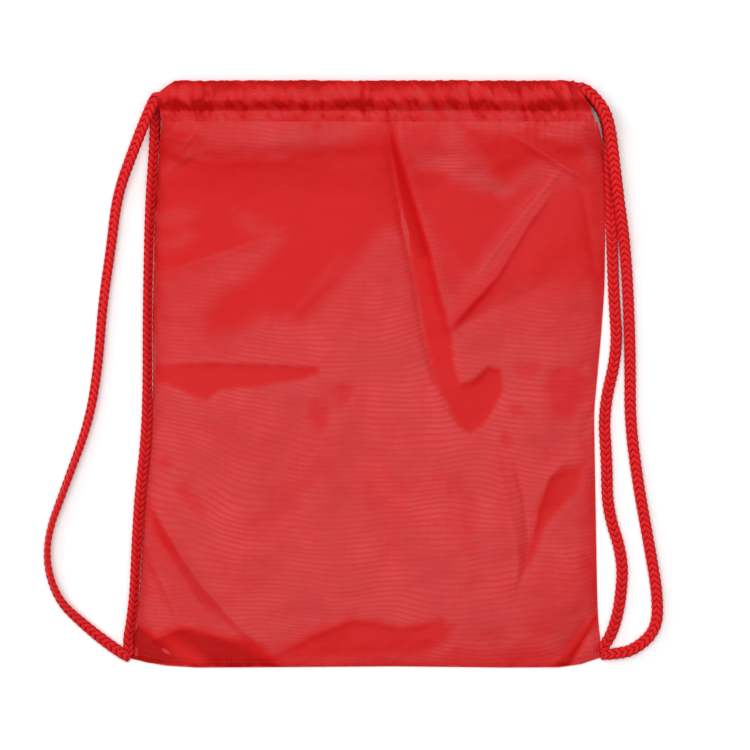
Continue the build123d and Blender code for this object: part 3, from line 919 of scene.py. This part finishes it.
def hem_cloth(name, middle_z, flat_z, flat_below, seed, grid=None):
    """A hem with its tunnel; the front one's flat part follows the top of its panel's grid."""
    profile = np.array(hem_profile(middle_z, flat_z, flat_below))
    u = np.linspace(0, 1, HEM_COLUMNS)
    y, z, on_tunnel = (np.repeat(profile[:, k : k + 1], HEM_COLUMNS, axis=1) for k in range(3))
    left = np.interp(y[:, 0], *zip(*HEM_LEFT_END))
    right = np.interp(y[:, 0], *zip(*HEM_RIGHT_END))
    x = left[:, None] + (right - left)[:, None] * u[None, :]
    squeeze = np.zeros(x.shape)
    for place, width, depth in GATHERS:
        skew = (y - SKEW_Y) * 0.22 * math.sin(place)
        squeeze += depth * np.exp(-(((x - place - skew) / width) ** 2))
    slant = x + 0.55 * (y - SKEW_Y)
    fine = ripple(slant, y, 2.6, 9, seed) * 0.42 + ripple(x, y, 7.5, 16, seed + 3) * 0.45
    fine = fine + ripple(x - 0.5 * (y - SKEW_Y), y, 4.4, 6, seed + 6) * 0.30
    outward_y = np.clip((y - TUNNEL_Y) / TUNNEL_HALF_WIDTH, -1, 1) * on_tunnel
    outward_z = np.clip((z - middle_z) / TUNNEL_HALF_HEIGHT, -1, 1) * on_tunnel
    outward_z = outward_z + np.where(on_tunnel > 0, 0, 0.8)
    swell = fine * 0.95 + 0.35 - np.minimum(squeeze, 1.2) * 0.62
    settle_end = smooth((y - HEM_LINE_Y) / 4)
    y = y + outward_y * swell * 0.6
    z = np.maximum(z + outward_z * swell * settle_end, 0.2)
    if grid is not None:
        top_x, top_z = grid[0][-1], grid[2][-1]
        meet = np.interp(x, top_x, top_z)
        share = (1 - smooth((y - HEM_LINE_Y) / 7)) * (1 - on_tunnel)
        meet[OUTSIDE_ROWS:] -= 2 * CLOTH_T
        z = z + (meet - z) * share
    # Painted sheen on the hem, in slanted streaks at random.
    painted_sheen_and_shade = 0.17 + 0.20 * ripple(x, y, 30, 9, seed + 1) + 0.24 * ripple(slant, y, 7, 12, seed + 2)
    painted_sheen_and_shade = painted_sheen_and_shade + 0.20 * ripple(slant, y, 3.0, 5, seed + 7)
    # A painted highlight along the tunnel's crown.
    painted_sheen_and_shade = painted_sheen_and_shade + 0.26 * np.exp(-(((y - 203.5) / 3.2) ** 2)) * on_tunnel
    # The flat part gets more painted sheen, and painted shade falls in the gathers.
    painted_sheen_and_shade = painted_sheen_and_shade + 0.30 * (1 - on_tunnel) - 0.22 * squeeze
    for outline, depth, softness, _ in PATCHES_WITHOUT_PAINTED_SHEEN:
        if max(place[1] for place in outline) > HEM_LINE_Y:
            painted_sheen_and_shade = painted_sheen_and_shade * (1 - depth * patch_share(x, y, outline, softness) * (1 - on_tunnel))
    # Painted shade in the valley at the tunnel's root and toward the tunnel's far side.
    tunnel_root_painted_shade = np.exp(-(((y - 193.5) / 2.0) ** 2))
    edge = smooth((y - 208) / 4)
    painted_sheen_and_shade = np.clip(painted_sheen_and_shade - 0.12 * tunnel_root_painted_shade - 0.16 * edge, 0.07, 1)
    piece = cloth_grid(name, x, y, z, painted_sheen_and_shade)
    give_wall(piece)
    return piece, (x, y, z)


front_hem, front_hem_grid = hem_cloth(
    "front_hem_cloth", middle_z=15.7, flat_z=MOUTH_Z, flat_below=12.5, seed=21.0, grid=front_grid
)
back_hem, back_hem_grid = hem_cloth("back_hem_cloth", middle_z=3.55, flat_z=1.2, flat_below=0.4, seed=33.0)

for piece, node in (
    (front_cloth, "front_panel"),
    (back_cloth, "back_panel"),
    (front_hem, "front_hem_tunnel"),
    (back_hem, "back_hem_tunnel"),
):
    piece.data.materials.append(NYLON)
    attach(piece, "bag")
    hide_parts(node)

# ------------ thread


def sewing_thread():
    finish = Finish("sewing_thread")
    twist = finish.clouds(finish.object_place(), 1400.0, 2.0)
    finish.surface(
        Base_Color=finish.mix(twist, (0.56, 0.008, 0.010), (0.70, 0.026, 0.030)),
        Roughness=0.45,
        Normal=finish.bump(twist, 0.08 * MM, 0.5),
        Specular_IOR_Level=0.3,
    )
    return finish.material


THREAD_FINISH = sewing_thread()


def stitch_tree():
    """Geometry Nodes that lay a stitch at even steps along a line."""
    tree = bpy.data.node_groups.new("stitch_row", "GeometryNodeTree")
    tree.is_modifier = True
    made = tree.interface
    made.new_socket("Seam line", in_out="INPUT", socket_type="NodeSocketGeometry")
    for name in ("Stitch step", "Stitch length", "Thread width", "Slant"):
        made.new_socket(name, in_out="INPUT", socket_type="NodeSocketFloat")
    made.new_socket("Stitches", in_out="OUTPUT", socket_type="NodeSocketGeometry")

    def node(kind, sockets=None, **settings):
        """A new node's first output; a socket among the sockets' values is linked."""
        added = tree.nodes.new(kind)
        for name, value in settings.items():
            setattr(added, name, value)
        for name, value in (sockets or {}).items():
            if isinstance(value, bpy.types.NodeSocket):
                tree.links.new(value, added.inputs[name])
            else:
                added.inputs[name].default_value = value
        return added.outputs[0]

    given = tree.nodes.new("NodeGroupInput").outputs
    thread = given["Thread width"]
    line = node("GeometryNodeMeshToCurve", {"Mesh": given["Seam line"]})
    steps = node("GeometryNodeResampleCurve", {"Curve": line, "Length": given["Stitch step"]}, mode="LENGTH")
    bead = node("GeometryNodeMeshUVSphere", {"Segments": 8, "Rings": 5, "Radius": 0.5})
    shape = node("ShaderNodeCombineXYZ", {"X": given["Stitch length"], "Y": thread, "Z": thread})
    stitch = node("GeometryNodeTransform", {"Geometry": bead, "Scale": shape})
    tangent = node("GeometryNodeInputTangent")
    along = node("FunctionNodeAlignRotationToVector", {"Vector": tangent}, axis="X")
    lean = node("FunctionNodeEulerToRotation", {0: node("ShaderNodeCombineXYZ", {"Z": given["Slant"]})})
    turn = node("FunctionNodeRotateRotation", {"Rotation": along, "Rotate By": lean}, rotation_space="LOCAL")
    laid = node("GeometryNodeInstanceOnPoints", {"Points": steps, "Instance": stitch, "Rotation": turn})
    real = node("GeometryNodeRealizeInstances", {"Geometry": laid})
    smoothed = node("GeometryNodeSetShadeSmooth", {"Geometry": real})
    finish = node("GeometryNodeSetMaterial", {"Geometry": smoothed, "Material": THREAD_FINISH})
    tree.links.new(finish, tree.nodes.new("NodeGroupOutput").inputs["Stitches"])
    return tree


STITCHES = stitch_tree()


LINE_STEP = 2.0
HEM_STITCH_Y = 185.5
HEM_STITCH_ROW = 1
HEM_STITCH_MARGIN = 8  # columns without a stitch at each end of a hem
OVERLOCK_Z = 1.05
BARTACK_RISE = 0.45
BARTACK_STEP = 0.5


def height_on_front(x, y):
    """Height of the front panel at a place, all in millimetres."""
    grid_x, grid_y, grid_z = front_grid
    far = (grid_x - x) ** 2 + (grid_y - y) ** 2
    nearest = np.unravel_index(np.argsort(far, axis=None)[:4], far.shape)
    weights = 1 / (far[nearest] + 0.05)
    return float((grid_z[nearest] * weights).sum() / weights.sum())


def dense(points):
    """More points on a bent line, so that it can follow the cloth."""
    line = []
    for a, b in zip(points, points[1:]):
        count = max(1, round(math.dist(a, b) / LINE_STEP))
        line += [(a[0] + (b[0] - a[0]) * k / count, a[1] + (b[1] - a[1]) * k / count) for k in range(count)]
    return line + [points[-1]]


def stitch_row(name, node, line, step=2.6, length=2.1, width=0.7, slant=0.0):
    """Stitches along a line of places (x, y, z in millimetres), as one plain mesh."""
    places = [(x * MM, y * MM, z * MM) for x, y, z in line]
    mesh = bpy.data.meshes.new(name + "_line")
    mesh.from_pydata(places, [(k, k + 1) for k in range(len(line) - 1)], [])
    holder = linked(name + "_line", mesh)
    sewing = holder.modifiers.new("sewing", "NODES")
    sewing.node_group = STITCHES
    sizes = {
        "Stitch step": step * MM, "Stitch length": length * MM, "Thread width": width * MM, "Slant": slant,
    }
    for item in STITCHES.interface.items_tree:
        if item.in_out == "INPUT" and item.name in sizes:
            sewing[item.identifier] = sizes[item.name]
    sewn = holder.evaluated_get(bpy.context.evaluated_depsgraph_get())
    plain = bpy.data.meshes.new_from_object(sewn)
    plain.name = name
    bpy.data.objects.remove(holder)
    piece = linked(name, plain)
    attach(piece, "bag")
    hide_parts(node)
    return piece


def on_cloth(points):
    """A bent line laid on the front panel."""
    return [(x, y, height_on_front(x, y)) for x, y in dense(points)]


def hem_row(grid):
    """The stitch line of a hem, just over the outside of its flat part."""
    x_row, z_row = (grid[k][HEM_STITCH_ROW][HEM_STITCH_MARGIN:-HEM_STITCH_MARGIN] for k in (0, 2))
    return [(x, HEM_STITCH_Y, z + 0.2) for x, z in zip(x_row, z_row)]


def zigzag(start, end, width):
    """Points of a zigzag from start to end."""
    length = math.dist(start, end)
    ux, uy = (end[0] - start[0]) / length, (end[1] - start[1]) / length
    count = max(2, round(length / BARTACK_STEP))
    line = []
    for k in range(count + 1):
        gone, side = length * k / count, (-1) ** k * width / 2
        line.append((start[0] + ux * gone - uy * side, start[1] + uy * gone + ux * side))
    return line


LEFT_SEAM = [
    (-168.6, -203), (-162, -158), (-158, -84), (-153.8, -46), (-152.4, -10), (-152.8, 40), (-151, 126),
    (-146, 178),
]
RIGHT_SEAM = [
    (166.6, -202), (163.4, -150), (162.5, -100), (161.3, -30), (167, 30), (168.2, 60), (167.2, 126),
    (161, 178),
]
BOTTOM_SEAM = [(-165, -204.2), (-146, -208), (-124, -209.5), (20, -208.8), (140, -209.4), (163, -204)]

hem_rows = [
    stitch_row(f"{side}_hem_stitches", f"{side}_hem_stitching", hem_row(grid))
    for side, grid in (("front", front_hem_grid), ("back", back_hem_grid))
]
seam_rows = [
    stitch_row(f"{side}_seam_stitches", f"{seam}_stitching", on_cloth(line), step=2.8, width=0.36)
    for side, seam, line in (
        ("left", "left_side_seam", LEFT_SEAM),
        ("right", "right_side_seam", RIGHT_SEAM),
        ("bottom", "bottom_seam", BOTTOM_SEAM),
    )
]


def overlock(side, points):
    """Overlocked edge of a seam allowance, lying on the back panel inside the bag."""
    flat = [(x, y, OVERLOCK_Z) for x, y in dense(points)]
    stitch_row(
        f"{side}_overlock", f"{side}_overlock_thread", flat, step=1.3, length=2.6, width=0.6, slant=1.1
    )


def bartack(spot, centre, size):
    """A dense block of zigzag thread over a seam's end."""
    (x, y), (wide, tall) = centre, size
    if wide > tall:
        line = zigzag((x - wide / 2, y), (x + wide / 2, y), tall)
    else:
        line = zigzag((x, y - tall / 2), (x, y + tall / 2), wide)
    line = [(x, y, height_on_front(x, y) + BARTACK_RISE) for x, y in line]
    stitch_row(f"{spot}_lock", f"{spot}_bartack", line, step=0.55, length=1.0, width=0.55)


overlock("left", [(-156, -190), (-150, -84), (-145, 0), (-137, 178)])
overlock("right", [(156, -190), (153, -30), (158, 60), (154.5, 178)])
overlock("bottom", [(-146, -195.5), (146, -195.5)])
bartack("left_slit", (-146.6, 179.5), (6, 2.2))
bartack("right_slit", (158.6, 179.5), (5, 2.2))
bartack("left_corner", (-168.6, -202.0), (2.6, 6))
bartack("right_corner", (166.2, -200.6), (2.6, 6))
